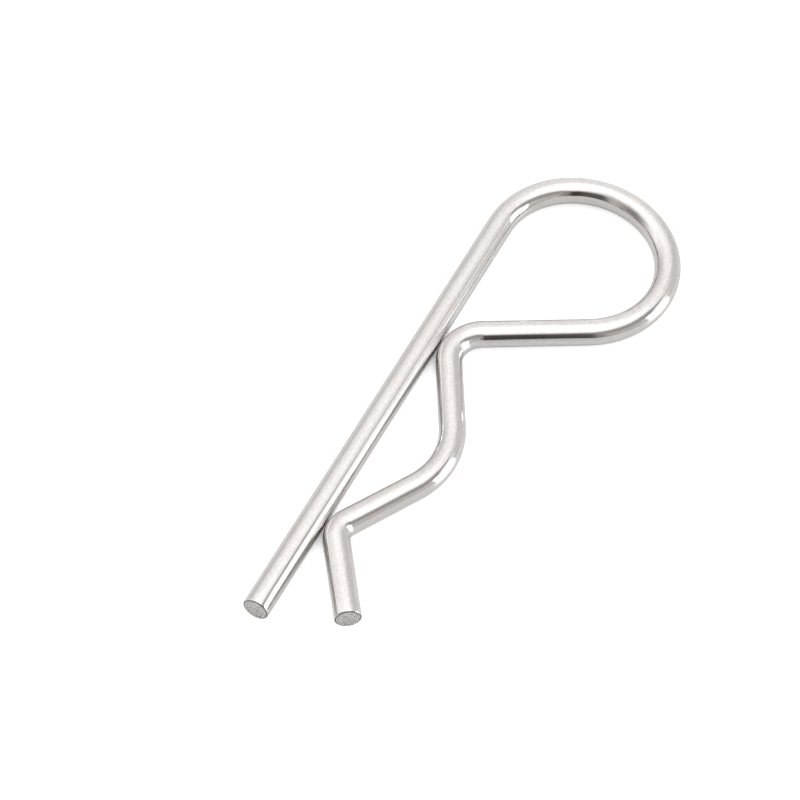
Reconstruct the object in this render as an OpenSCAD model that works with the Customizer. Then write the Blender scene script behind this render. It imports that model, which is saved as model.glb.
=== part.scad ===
// Spring-wire R clip: one round wire bent in one plane, lying flat.
// The straight leg runs along X with its cut end at +X. The eye is at -X, and the
// sprung arm comes back beside the leg: waist, hump, mouth, then a flared tail.

/* [Wire] */
// Diameter of the round spring wire
wire_d = 3; // [2:0.1:4]
// Width of the broken edge round each cut end
end_break = 0.2; // [0.05:0.05:0.5]

/* [Along the leg] */
// Distance from the leg's cut end to the mouth
mouth_x = 13.4; // [9:0.1:20]
// Distance from the mouth to the hump
mouth_to_hump = 13.6; // [12:0.1:17]
// Distance from the hump to the waist
hump_to_waist = 14; // [12.5:0.1:18]
// Distance from the waist to the eye's centre
waist_to_eye = 18.5; // [16:0.1:30]

/* [Eye] */
// Inside diameter of the eye
eye_d = 17.2; // [14:0.1:24]

/* [Sprung arm] */
// Gap between the unloaded arm and the leg, at the waist and at the mouth
pinch_gap = 0.1; // [0.05:0.05:1]
// Inside radius of the bend at the waist
waist_bend = 2.7; // [1:0.1:3.5]
// Height of the hump's inside above the leg's axis, half the shaft it clips on
hump_rise = 7.4; // [5:0.1:9]
// Inside radius of the hump
hump_bend = 7.9; // [5:0.1:9]
// Inside radius of the bend at the mouth
mouth_bend = 1.1; // [0.8:0.1:2.5]
// Angle between the flared tail and the leg
tail_angle = 34.5; // [15:0.5:60]
// Length of the straight tail
tail_l = 9.8; // [3:0.1:12]

/* [Hidden] */
$fn = 64;

// The wire thins by this much on its radius where it is bent
bend_neck = 0.01;
// Each bend runs on this far inside the straights beside it
bend_lap = 0.02;

// Bend radii along the wire's axis
eye_r = (eye_d + wire_d) / 2;
waist_r = waist_bend + wire_d / 2;
hump_r = hump_bend + wire_d / 2;
mouth_r = mouth_bend + wire_d / 2;

// Length of the straight leg, and of the whole clip
leg_l = mouth_x + mouth_to_hump + hump_to_waist + waist_to_eye;
overall_l = leg_l + eye_r + wire_d / 2;

// Centres of the four bends, with the leg along X from its cut end at the origin
pinched_y = wire_d + pinch_gap;
mouth_c = [mouth_x, pinched_y + mouth_r];
hump_c = [mouth_x + mouth_to_hump, hump_rise + wire_d / 2 - hump_r];
waist_c = [leg_l - waist_to_eye, pinched_y + waist_r];
eye_c = [leg_l, eye_r];

// Straight run that touches the circle at a and crosses over to touch the circle at b
function run_l(a, b, radii) = sqrt(pow(norm(b - a), 2) - pow(radii, 2));
// Heading of that run; side is 1 where it leaves a left turn, -1 where it leaves a right turn
function run_heading(a, b, radii, side) =
    let (d = b - a, h = atan2(d.y, d.x) + side * asin(radii / norm(d))) h < 0 ? h + 360 : h;

return_heading = run_heading(eye_c, waist_c, eye_r + waist_r, 1);
rise_heading = run_heading(waist_c, hump_c, waist_r + hump_r, -1);
fall_heading = run_heading(hump_c, mouth_c, hump_r + mouth_r, 1);
tail_heading = 180 - tail_angle;

// Bend table, from the cut end of the leg: straight feed, bend radius, turn to the left
bends = [
    [leg_l, eye_r, return_heading],
    [run_l(eye_c, waist_c, eye_r + waist_r), waist_r, rise_heading - return_heading],
    [run_l(waist_c, hump_c, waist_r + hump_r), hump_r, fall_heading - rise_heading],
    [run_l(hump_c, mouth_c, hump_r + mouth_r), mouth_r, tail_heading - fall_heading],
];

// Straight wire along X from the origin
module straight(l) rotate([0, 90, 0]) cylinder(d = wire_d, h = l);

// Straight wire along X whose end at the origin is cut, with its edge broken
module cut_straight(l) rotate([0, 90, 0]) rotate_extrude()
    polygon([[0, 0], [wire_d / 2 - end_break, 0], [wire_d / 2, end_break], [wire_d / 2, l], [0, l]]);

// Bend that starts at the origin heading along X and turns left, or right where turn is negative
module bend(radius, turn) {
    lap = bend_lap / radius * 180 / PI;
    translate([0, sign(turn) * radius, 0]) rotate([0, 0, (turn < 0 ? 90 + turn : -90) - lap])
        rotate_extrude(angle = abs(turn) + 2 * lap)
            translate([radius, 0]) circle(r = wire_d / 2 - bend_neck);
}

// Carries its children from the start of a bend to its end
module past_bend(radius, turn) {
    centre = [0, sign(turn) * radius, 0];
    translate(centre) rotate([0, 0, turn]) translate(-centre) children();
}

// The wire from row i of the bend table to the end of the tail
module wire_from(i) {
    if (i < len(bends)) {
        feed = bends[i][0];
        radius = bends[i][1];
        turn = bends[i][2];
        if (i == 0) cut_straight(feed); else straight(feed);
        translate([feed, 0, 0]) {
            bend(radius, turn);
            past_bend(radius, turn) wire_from(i + 1);
        }
    } else {
        translate([tail_l, 0, 0]) rotate([0, 0, 180]) cut_straight(tail_l);
    }
}

module clip_wire() {
    color("silver")
        translate([overall_l / 2, -eye_r, wire_d / 2]) rotate([0, 180, 0]) wire_from(0);
}

clip_wire();
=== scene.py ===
from math import asin, atan2, cos, degrees, pi, radians, sin, sqrt, tau

import bpy
from mathutils import Matrix, Quaternion, Vector, noise


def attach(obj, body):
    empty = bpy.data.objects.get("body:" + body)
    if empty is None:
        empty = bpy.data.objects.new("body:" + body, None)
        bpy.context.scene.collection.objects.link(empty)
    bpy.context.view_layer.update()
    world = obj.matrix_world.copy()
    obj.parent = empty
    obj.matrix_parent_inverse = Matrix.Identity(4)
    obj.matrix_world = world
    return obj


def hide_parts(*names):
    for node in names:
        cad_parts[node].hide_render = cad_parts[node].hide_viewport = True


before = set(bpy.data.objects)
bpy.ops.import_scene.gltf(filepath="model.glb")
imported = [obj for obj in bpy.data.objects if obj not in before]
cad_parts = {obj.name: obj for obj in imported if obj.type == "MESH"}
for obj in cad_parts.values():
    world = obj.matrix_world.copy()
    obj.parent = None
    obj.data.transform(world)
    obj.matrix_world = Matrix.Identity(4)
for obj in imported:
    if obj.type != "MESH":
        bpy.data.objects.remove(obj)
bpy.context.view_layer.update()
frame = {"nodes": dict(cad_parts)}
print("loaded", ", ".join(frame["nodes"]))


class Link:  # what leaves a node's socket, for use in sums
    def __init__(self, nodes, socket):
        self.nodes, self.socket = nodes, socket

    def side(self, name):  # another output of the same node
        return Link(self.nodes, self.socket.node.outputs[name])

    def __add__(self, other):
        return self.nodes.maths("ADD", self, other)

    def __sub__(self, other):
        return self.nodes.maths("SUBTRACT", self, other)

    def __rsub__(self, other):
        return self.nodes.maths("SUBTRACT", other, self)

    def __mul__(self, other):
        return self.nodes.maths("MULTIPLY", self, other)

    __radd__, __rmul__ = __add__, __mul__

    def __abs__(self):
        return self.nodes.maths("ABSOLUTE", self)


class Nodes:  # lays the nodes of one material, or of the world
    def __init__(self, owner):
        owner.use_nodes = True
        self.tree = owner.node_tree
        self.tree.nodes.clear()

    def add(self, kind, settings=None, sockets=None, out=0):
        node = self.tree.nodes.new("ShaderNode" + kind)
        for name, value in (settings or {}).items():
            setattr(node, name, value)
        for name, value in (sockets or {}).items():
            if isinstance(value, Link):
                self.tree.links.new(value.socket, node.inputs[name])
            else:
                node.inputs[name].default_value = value
        return Link(self, node.outputs[out]) if node.outputs else None

    def maths(self, operation, *values):
        return self.add("Math", {"operation": operation}, dict(enumerate(values)))

    def fade(self, value, start, end):  # 0 at start, 1 at end, smooth between them
        limits = {"Value": value, "From Min": start, "From Max": end}
        return self.add("MapRange", {"interpolation_type": "SMOOTHSTEP"}, limits)

    def blend(self, share, first, second):  # colours
        return self.add("Mix", {"data_type": "RGBA"}, {"Factor": share, 6: first, 7: second}, out=2)


# The bent wire. It is drawn as one sweep: rings from the middle of one cut face, over its
# rolled edge, along every straight and bend, and back to the middle of the other cut face.

wire = {  # metres and degrees
    "diameter": 0.003,
    "mouth": 0.0134,  # along the leg from its cut end, and the next three on from there
    "mouthToHump": 0.0136,
    "humpToWaist": 0.014,
    "waistToEye": 0.0185,
    "eyeInside": 0.0172,
    "pinchGap": 0.0001,  # air between arm and leg at the mouth and the waist
    "waistBend": 0.0027,  # the bends are given as radii on their inside
    "humpBend": 0.0079,
    "mouthBend": 0.0011,
    "humpRise": 0.0074,  # from the leg's axis to the hump's inside
    "tailAngle": 34.5,  # between the tail and the leg
    "tailLength": 0.0098,
    "endBreak": 0.0002,  # rolled edge round each cut face
    "faceRings": (0.12, 0.35, 0.58, 0.78, 0.92, 1.0),  # shares of the flat face's radius
    "faceHollow": 0.00005,  # how far the shears pulled the middle of a face in
    "faceTear": 0.00008,  # unevenness of the torn metal there
    "tearSize": 0.0004,
    "rimRings": 6,
    # the rim rings next to each face get a painted shade line, mottled at random
    "shadedRimRings": 3,  # of the rim, next to the face
    "faceFinish": 1,  # places in the piece's list of materials
    "shadedRimIndex": 2,
    "aroundCount": 96,  # faces round the wire
    "bendStep": 2.5,  # degrees of bend to a face
    "straightStep": 0.002,  # length of a face on a straight
    "sharpAngle": 30,  # a corner steeper than this is shaded sharp
}


def bendTable():  # feed, radius and turn of each bend, the overall length and the eye's radius
    radius = wire["diameter"] / 2
    legLength = wire["mouth"] + wire["mouthToHump"] + wire["humpToWaist"] + wire["waistToEye"]
    eye, waist, hump, mouth = (
        size + radius
        for size in (wire["eyeInside"] / 2, wire["waistBend"], wire["humpBend"], wire["mouthBend"])
    )
    pinched = wire["diameter"] + wire["pinchGap"]
    centres = [
        Vector((legLength, eye)),
        Vector((legLength - wire["waistToEye"], pinched + waist)),
        Vector((wire["mouth"] + wire["mouthToHump"], wire["humpRise"] + radius - hump)),
        Vector((wire["mouth"], pinched + mouth)),
    ]
    sizes = [eye, waist, hump, mouth]
    feeds, headings = [legLength], [0.0]
    for bend, side in enumerate((1, -1, 1)):  # the straight that leaves each bend for the next
        run = centres[bend + 1] - centres[bend]
        reach = sizes[bend] + sizes[bend + 1]
        feeds.append(sqrt(run.length ** 2 - reach ** 2))
        headings.append((atan2(run.y, run.x) + side * asin(reach / run.length)) % tau)
    headings.append(pi - radians(wire["tailAngle"]))
    turns = [after - before for before, after in zip(headings, headings[1:])]
    print("bends in degrees", [round(degrees(turn), 1) for turn in turns])
    return list(zip(feeds, sizes, turns)), legLength + eye + radius, eye


def endProfile():  # distance in from the cut face and radius, for each ring from the middle out
    edge = wire["endBreak"]
    flat = wire["diameter"] / 2 - edge
    face = [(0.0, flat * share) for share in wire["faceRings"]]
    quarters = [pi / 2 * (step + 1) / wire["rimRings"] for step in range(wire["rimRings"])]
    return face + [(edge * (1 - cos(turn)), flat + edge * sin(turn)) for turn in quarters]


class Bender:  # carries the wire's open end, a ring of edges, along the bends
    def __init__(self, place, heading, radius):
        self.place, self.heading, self.radius = place, heading, radius
        self.ringPlaces = [0.0]  # how far along the surface each ring lies
        bpy.ops.object.select_all(action="DESELECT")
        bpy.ops.mesh.primitive_circle_add(
            vertices=wire["aroundCount"], radius=radius, location=place, rotation=(0, -pi / 2, 0)
        )
        self.piece = bpy.context.object
        bpy.ops.object.transform_apply()
        bpy.ops.object.mode_set(mode="EDIT")
        bpy.ops.mesh.select_all(action="SELECT")

    def feed(self, distance, radius=None):  # one ring on, wider or narrower if a radius is given
        move = self.heading * distance
        self.place = self.place + move
        bpy.ops.mesh.extrude_edges_move(TRANSFORM_OT_translate={"value": move})
        before = self.radius
        if radius is not None:
            grow = radius / before
            bpy.ops.transform.resize(value=(grow, grow, grow), center_override=self.place)
            self.radius = radius
        along = sqrt(distance ** 2 + (self.radius - before) ** 2)
        self.ringPlaces.append(self.ringPlaces[-1] + along)

    def straight(self, distance):
        steps = max(1, round(distance / wire["straightStep"]))
        for step in range(steps):
            self.feed(distance / steps)

    def bend(self, radius, turn):  # a turn above 0 is clockwise seen from above
        towardsCentre = Vector((self.heading.y, -self.heading.x, 0)) * (1 if turn > 0 else -1)
        centre = self.place + radius * towardsCentre
        steps = max(2, round(abs(degrees(turn)) / wire["bendStep"]))
        bpy.ops.mesh.spin(steps=steps, angle=turn, center=centre, axis=(0, 0, 1))
        turned = Matrix.Rotation(-turn, 3, "Z")
        self.place = centre + turned @ (self.place - centre)
        self.heading = turned @ self.heading
        for step in range(steps):
            self.ringPlaces.append(self.ringPlaces[-1] + radius * abs(turn) / steps)


def modelWire():
    bends, overall, eyeRadius = bendTable()
    profile = endProfile()
    radius, edge = wire["diameter"] / 2, wire["endBreak"]
    legEnd = Vector((overall / 2, -eyeRadius, radius))
    bender = Bender(legEnd, Vector((-1, 0, 0)), profile[0][1])
    for inner, outer in zip(profile, profile[1:]):
        bender.feed(outer[0] - inner[0], outer[1])
    used = edge
    for feed, size, turn in bends:
        bender.straight(feed - used)
        bender.bend(size, turn)
        used = 0.0
    bender.straight(wire["tailLength"] - edge)
    for inner, outer in zip(profile[-2::-1], profile[:0:-1]):
        bender.feed(outer[0] - inner[0], inner[1])
    bpy.ops.mesh.edge_face_add()
    piece = bender.piece
    selectRing(piece, 0)
    bpy.ops.mesh.edge_face_add()
    bpy.ops.mesh.select_all(action="SELECT")
    bpy.ops.mesh.normals_make_consistent(inside=False)
    bpy.ops.object.mode_set(mode="OBJECT")
    layDrawnSkin(piece, bender.ringPlaces)
    roughenFaces(piece, len(bender.ringPlaces), Vector((-1, 0, 0)), -bender.heading)
    bpy.ops.object.shade_smooth_by_angle(angle=radians(wire["sharpAngle"]))
    length = round(bender.ringPlaces[-1] * 1000, 1)
    print("wire skin, mm", length, "faces", len(piece.data.polygons))
    return piece


def selectRing(piece, ring):
    bpy.ops.object.mode_set(mode="OBJECT")
    count = wire["aroundCount"]
    for polygon in piece.data.polygons:
        polygon.select = False
    for edge in piece.data.edges:
        edge.select = all(vertex // count == ring for vertex in edge.vertices)
    for vertex in piece.data.vertices:
        vertex.select = vertex.index // count == ring
    bpy.ops.object.mode_set(mode="EDIT")


def layDrawnSkin(piece, ringPlaces):  # U runs along the surface in metres, V once round the wire
    count = wire["aroundCount"]
    skin = piece.data.uv_layers.new(name="drawnSkin").data
    for polygon in piece.data.polygons:
        corners = [(piece.data.loops[i].vertex_index, i) for i in polygon.loop_indices]
        places = {vertex % count for vertex, i in corners}
        seam = 0 in places and count - 1 in places
        for vertex, i in corners:
            turn = vertex % count
            lap = count if seam and turn == 0 else turn
            skin[i].uv = ringPlaces[vertex // count], lap / count


def roughenFaces(piece, ringCount, intoLeg, intoTail):
    count, last = wire["aroundCount"], len(wire["faceRings"]) - 1
    body = last + wire["rimRings"]
    for vertex in piece.data.vertices:
        ring = vertex.index // count
        for inner, inward in ((ring, intoLeg), (ringCount - 1 - ring, intoTail)):
            if inner < body:
                hollow = wire["faceHollow"] * (1 - wire["faceRings"][min(inner, last)] ** 2)
                share = min(1, (body - inner) / wire["rimRings"])
                torn = wire["faceTear"] * (1 + noise.noise(vertex.co / wire["tearSize"])) / 2
                vertex.co += inward * (hollow + share * torn)
    for polygon in piece.data.polygons:
        rings = [vertex // count for vertex in polygon.vertices]
        outer = min(max(rings), ringCount - 1 - min(rings))
        if outer <= last:
            polygon.material_index = wire["faceFinish"]
        # the rings next to the face get the rim's painted shade
        elif outer <= last + wire["shadedRimRings"]:
            polygon.material_index = wire["shadedRimIndex"]


bentWire = modelWire()
bentWire.name = bentWire.data.name = "bent_wire"
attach(bentWire, "root")
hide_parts("clip_wire")


steel = {  # sizes in metres
    "paleTone": (0.845, 0.84, 0.83, 1),
    "warmTone": (0.79, 0.755, 0.745, 1),
    "roughness": 0.06,
    "roughnessSpread": 0.06,
    "lineWidth": 0.00012,  # the fine lines that the drawing die leaves along the wire
    "lineLength": 0.009,
    "lineDepth": 0.000004,
    "waverWidth": 0.0012,  # the slow unevenness that makes a reflection's edge wander
    "waverLength": 0.004,
    "waverDepth": 0.00001,
    "grainWidth": 0.00022,  # the fine mottling of the bright skin
    "grainLength": 0.00045,
    "streakShare": 0.3,  # how much of the mottling is drawn out into streaks
    "streakWidth": 0.0002,
    "streakLength": 0.004,
    "mottlingEdges": (0.39, 0.61),  # noise levels where the pale tone ends and the warm one is full
}

cutFace = {
    "darkTone": (0.42, 0.40, 0.41, 1),
    "lightTone": (0.92, 0.89, 0.87, 1),
    "roughness": 0.42,
    "grainSize": 0.0003,
    "grainDepth": 0.00006,
    "pitEdges": (0.35, 0.6),
    "rimMottlingEdges": (0.4, 0.7),
    "rimShadeTone": (0.20, 0.19, 0.19, 1),  # the rolled edge next to the face, darkened with painted shade that stands in for the shadow of a burr there
    "rimRoughness": 0.5,
}


def aroundWire(nodes):  # a place on the straightened wire, in metres, so patterns follow its bends
    skin = nodes.add("SeparateXYZ", {}, {0: nodes.add("UVMap", {"uv_map": "drawnSkin"})})
    turn = skin.side("Y") * tau
    across = nodes.maths("COSINE", turn) * (wire["diameter"] / 2)
    upward = nodes.maths("SINE", turn) * (wire["diameter"] / 2)
    return nodes.add("CombineXYZ", {}, {"X": across, "Y": upward, "Z": skin})


def stretched(nodes, place, width, length, detail=2.0):  # noise drawn out along the wire
    drawn = nodes.add("Mapping", {}, {"Vector": place, "Scale": (1 / width, 1 / width, 1 / length)})
    return nodes.add("TexNoise", {}, {"Vector": drawn, "Scale": 1.0, "Detail": detail})


def drawnSteel():
    material = bpy.data.materials.new("drawn_steel")
    nodes = Nodes(material)
    place = aroundWire(nodes)
    lines = stretched(nodes, place, steel["lineWidth"], steel["lineLength"])
    waver = stretched(nodes, place, steel["waverWidth"], steel["waverLength"], detail=1.0)
    grain = stretched(nodes, place, steel["grainWidth"], steel["grainLength"])
    streaks = stretched(nodes, place, steel["streakWidth"], steel["streakLength"])
    mottling = grain * (1 - steel["streakShare"]) + streaks * steel["streakShare"]
    height = lines * steel["lineDepth"] + waver * steel["waverDepth"]
    skin = nodes.add("Bump", {}, {"Strength": 1.0, "Distance": 1.0, "Height": height})
    warmShare = nodes.fade(mottling, *steel["mottlingEdges"])
    metal = nodes.add(
        "BsdfPrincipled",
        {},
        {
            "Base Color": nodes.blend(warmShare, steel["paleTone"], steel["warmTone"]),
            "Metallic": 1.0,
            "Roughness": (lines - 0.5) * steel["roughnessSpread"] + steel["roughness"],
            "Normal": skin,
        },
    )
    nodes.add("OutputMaterial", {}, {"Surface": metal})
    return material


# Painted shade: the rolled edge next to each cut face is darkened to stand in for the shadow of a
# burr there, mottled at random between two dark tones.
def shadedRim():
    material = bpy.data.materials.new("painted_shade_rim")
    nodes = Nodes(material)
    place = nodes.add("TexCoord", out="Object")
    rimMottling = stretched(nodes, place, cutFace["grainSize"], cutFace["grainSize"])
    lighterRimShare = nodes.fade(rimMottling, *cutFace["rimMottlingEdges"])
    metal = nodes.add(
        "BsdfPrincipled",
        {},
        {
            "Base Color": nodes.blend(lighterRimShare, cutFace["rimShadeTone"], cutFace["darkTone"]),
            "Metallic": 1.0,
            "Roughness": cutFace["rimRoughness"],
        },
    )
    nodes.add("OutputMaterial", {}, {"Surface": metal})
    return material


def shearedSteel():  # the torn grain of a cut face
    material = bpy.data.materials.new("sheared_steel")
    nodes = Nodes(material)
    place = nodes.add("TexCoord", out="Object")
    size = cutFace["grainSize"]
    grain = stretched(nodes, place, size, size, detail=4.0)
    pits = stretched(nodes, place, size / 2, size / 2)
    height = grain * cutFace["grainDepth"]
    skin = nodes.add("Bump", {}, {"Strength": 1.0, "Distance": 1.0, "Height": height})
    paleShare = nodes.fade(pits, *cutFace["pitEdges"])
    metal = nodes.add(
        "BsdfPrincipled",
        {},
        {
            "Base Color": nodes.blend(paleShare, cutFace["darkTone"], cutFace["lightTone"]),
            "Metallic": 1.0,
            "Roughness": cutFace["roughness"],
            "Normal": skin,
        },
    )
    nodes.add("OutputMaterial", {}, {"Surface": metal})
    return material


for finish in (drawnSteel(), shearedSteel(), shadedRim()):
    bentWire.data.materials.append(finish)
print("finished with", ", ".join(finish.name for finish in bentWire.data.materials))


# The light tent: pale sheets, a few cards and a window, which the bright wire mirrors.

tent = {  # in degrees; azimuths run from +X towards +Y, and elevations up from the floor
    "tint": (1.015, 1.0, 0.99),
    "warmth": 0.03,  # how much browner the dark cards are than the pale sheets
    "wall": 0.58,
    "roof": 1.33,
    "wallTop": 0,  # elevation where the wall starts to turn into the roof
    "roofFull": 75,
    "behind": (1, 1, 1, 1),  # what the camera sees past the floor
    "panels": {  # azimuth, width, elevation, height, width of the soft edge, level
        "backSheet": (-170, 65, 15, 70, 45, 0.9),
        "sideSheet": (150, 55, 10, 75, 35, 0.65),
        "creamCard": (-65, 50, 40, 70, 45, 1.25),
        "greyCard": (45, 80, 10, 65, 40, 0.5),
        "lightStand": (-20, 85, 20, 60, 45, 0.25),
        "gap": (-10, 20, 30, 65, 40, 0.6),
        "blackCard": (20, 45, 18, 54, 18, 0.1),
        "blackCloth": (40, 20, 17, 48, 15, 0.05),
        "greyCloth": (50, 10, 15, 60, 12, 0.28),
        "windowHead": (90, 75, 38, 26, 16, 0.35),
        "windowTop": (122, 18, 30, 16, 10, 1.1),
        "windowBar": (124, 22, 43, 7, 6, 0.3),
        "window": (111, 24, -5, 60, 6, 5.0),
    },
}


def lit(level):
    red, green, blue = tent["tint"]
    warmth = tent["warmth"]
    return red * level ** (1 - warmth), green * level, blue * level ** (1 + warmth), 1


def lightTent():
    world = bpy.data.worlds.new("light_tent")
    bpy.context.scene.world = world
    nodes = Nodes(world)
    direction = nodes.add("SeparateXYZ", {}, {0: nodes.add("TexCoord", out="Generated")})
    azimuth = nodes.maths("ARCTAN2", direction.side("Y"), direction.side("X")) * (360 / tau)
    elevation = nodes.maths("ARCSINE", direction.side("Z")) * (360 / tau)
    rising = nodes.fade(elevation, tent["wallTop"], tent["roofFull"])
    colour = nodes.blend(rising, lit(tent["wall"]), lit(tent["roof"]))
    for azimuthAt, wide, elevationAt, high, soft, level in tent["panels"].values():
        aside = abs(nodes.maths("WRAP", azimuth - azimuthAt, 180, -180))
        above = abs(elevation - elevationAt)
        across = nodes.fade(aside, (wide + soft) / 2, (wide - soft) / 2)
        upright = nodes.fade(above, (high + soft) / 2, (high - soft) / 2)
        colour = nodes.blend(across * upright, colour, lit(level))
    seen = nodes.blend(nodes.add("LightPath", out="Is Camera Ray"), colour, tent["behind"])
    background = nodes.add("Background", {}, {"Color": seen, "Strength": 1.0})
    nodes.add("OutputWorld", {}, {"Surface": background})


floor = {
    "size": 4.0,
    "tone": (0.75, 0.745, 0.74, 1),
    "roughness": 0.3,
    "ior": 1.9,
    "whiteSeen": 0.7,  # plain white that the camera sees on top of the lit and shaded floor
    "whiteInGloss": 0.08,
    "glow": (1, 1, 1, 1),
    "creviceRays": 8,
    "creviceReach": 0.003,  # the added white leaves out what the wire hides this closely
    "crevice": (0.02, 0.2),  # openness to the sky from which the white starts, and where it is full
}


def layFloor():
    bpy.ops.object.select_all(action="DESELECT")
    bpy.ops.mesh.primitive_plane_add(size=floor["size"])
    piece = bpy.context.object
    piece.name = "studio_floor"
    material = bpy.data.materials.new("white_sweep")
    nodes = Nodes(material)
    paths = nodes.add("LightPath", out="Is Camera Ray")
    openness = nodes.add(
        "AmbientOcclusion",
        {"samples": floor["creviceRays"]},
        {"Distance": floor["creviceReach"]},
        out="AO",
    )
    white = paths * floor["whiteSeen"] + paths.side("Is Glossy Ray") * floor["whiteInGloss"]
    white = white * nodes.fade(openness, *floor["crevice"])
    board = nodes.add(
        "BsdfPrincipled",
        {},
        {"Base Color": floor["tone"], "Roughness": floor["roughness"], "IOR": floor["ior"]},
    )
    glow = nodes.add("Emission", {}, {"Color": floor["glow"], "Strength": white})
    nodes.add("OutputMaterial", {}, {"Surface": nodes.add("AddShader", {}, {0: board, 1: glow})})
    piece.data.materials.append(material)


camera = {
    "aim": (0.00269, -0.009388, 0),  # the point on the floor at the middle of the frame
    "azimuth": 110.4,
    "elevation": 54.72,
    "roll": 7.89,
    "distance": 0.40438,
    "lens": 164.23,
    "clip": (0.005, 20),
}


def placeCamera():
    turn, rise = radians(camera["azimuth"]), radians(camera["elevation"])
    back = Vector((sin(turn) * cos(rise), -cos(turn) * cos(rise), sin(rise)))
    bpy.ops.object.camera_add(location=Vector(camera["aim"]) + back * camera["distance"])
    eye = bpy.context.object
    eye.rotation_mode = "QUATERNION"
    roll = Quaternion((0, 0, 1), radians(camera["roll"]))
    eye.rotation_quaternion = (-back).to_track_quat("-Z", "Y") @ roll
    eye.data.lens = camera["lens"]
    eye.data.clip_start, eye.data.clip_end = camera["clip"]
    bpy.context.scene.camera = eye


lightTent()
layFloor()
placeCamera()
bpy.context.scene.view_settings.view_transform = "Standard"
print("studio: tent of", len(tent["panels"]), "panels, floor and camera")
